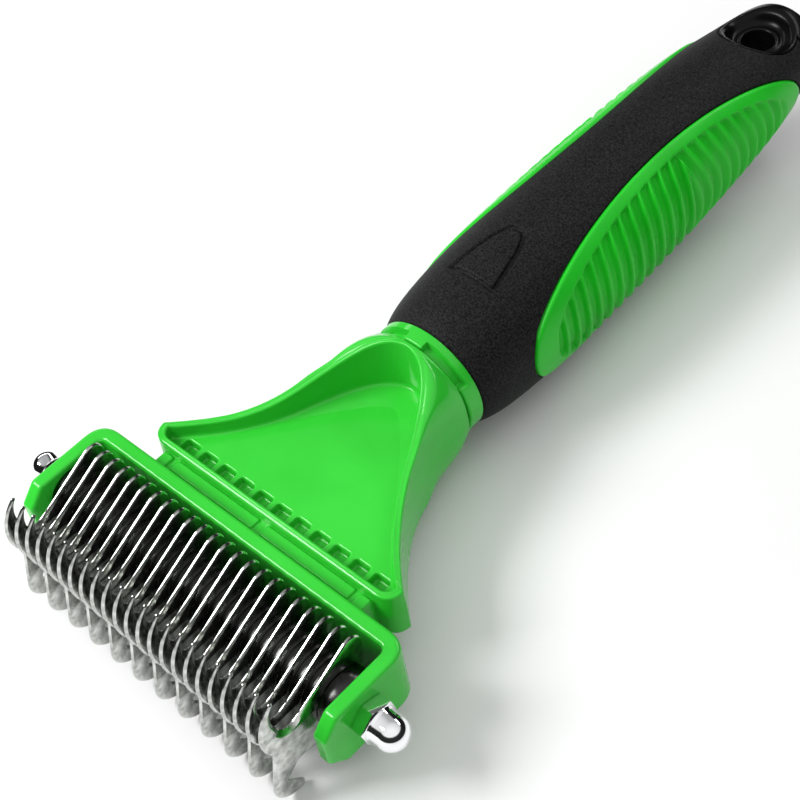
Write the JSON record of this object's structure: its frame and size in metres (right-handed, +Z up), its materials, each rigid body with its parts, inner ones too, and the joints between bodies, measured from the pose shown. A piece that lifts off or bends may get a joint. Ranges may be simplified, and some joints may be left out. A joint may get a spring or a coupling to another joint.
{
  "type": "deshedding tool",
  "caption": "Two-sided undercoat rake with a pack of hooked steel blades on a cross axle in a U-shaped bracket, a flared plastic head and a soft-grip handle with a hang hole.",
  "frame": {"origin": "bottom centre of the whole tool: midway along its length, on the centre plane, at the tips of the lower teeth", "axes": "X along the cross axle, +Y towards the end of the handle, +Z up on the side with the full row of upper teeth"},
  "size_m": [0.09, 0.1808, 0.0316],
  "materials": {
    "green_plastic": "glossy moulded",
    "green_grip": "satin soft-touch",
    "black_grip": "fine grained soft-touch",
    "black_plastic": "smooth",
    "blade_steel": "polished, ground edges",
    "spacer_steel": "dark turned",
    "axle_steel": "zinc plated",
    "chrome": "bright plated"
  },
  "bodies": {
    "tool": {"bracket": "green_plastic", "connecting_rail": "green_plastic", "head_body": "green_plastic", "neck_collar": "green_plastic", "handle_core": "black_plastic", "handle_sleeve": "black_grip", "left_grip": "green_grip", "right_grip": "green_grip", "axle": "axle_steel", "blade_spacers": "spacer_steel", "left_end_bush": "spacer_steel", "right_end_bush": "spacer_steel", "double_blade_01": "blade_steel", "double_blade_02": "blade_steel", "double_blade_03": "blade_steel", "double_blade_04": "blade_steel", "double_blade_05": "blade_steel", "double_blade_06": "blade_steel", "double_blade_07": "blade_steel", "double_blade_08": "blade_steel", "double_blade_09": "blade_steel", "double_blade_10": "blade_steel", "double_blade_11": "blade_steel", "double_blade_12": "blade_steel", "single_blade_01": "blade_steel", "single_blade_02": "blade_steel", "single_blade_03": "blade_steel", "single_blade_04": "blade_steel", "single_blade_05": "blade_steel", "single_blade_06": "blade_steel", "single_blade_07": "blade_steel", "single_blade_08": "blade_steel", "single_blade_09": "blade_steel", "single_blade_10": "blade_steel", "single_blade_11": "blade_steel"},
    "right_dome": {"right_nut_dome": "chrome"},
    "right_hexagon": {"right_nut_base": "chrome"},
    "left_dome": {"left_nut_dome": "chrome"},
    "left_hexagon": {"left_nut_base": "chrome"}
  },
  "joints": [
    {"name": "right_nut_travel", "type": "slide", "parent": "tool", "child": "right_dome", "axis": [1, 0, 0], "range_m": [0, 0.0056]},
    {"name": "right_nut_turn", "type": "hinge", "parent": "right_dome", "child": "right_hexagon", "pos_m": [0.037, -0.07383, 0.01305], "axis": [1, 0, 0], "range_deg": [0, 2880]},
    {"name": "left_nut_travel", "type": "slide", "parent": "tool", "child": "left_dome", "axis": [-1, 0, 0], "range_m": [0, 0.0056]},
    {"name": "left_nut_turn", "type": "hinge", "parent": "left_dome", "child": "left_hexagon", "pos_m": [-0.037, -0.07383, 0.01305], "axis": [-1, 0, 0], "range_deg": [0, 2880]}
  ],
  "couplings": [
    {"joint": "right_nut_turn", "follows": "right_nut_travel", "rad_per_m": 8976},
    {"joint": "left_nut_turn", "follows": "left_nut_travel", "rad_per_m": 8976}
  ]
}
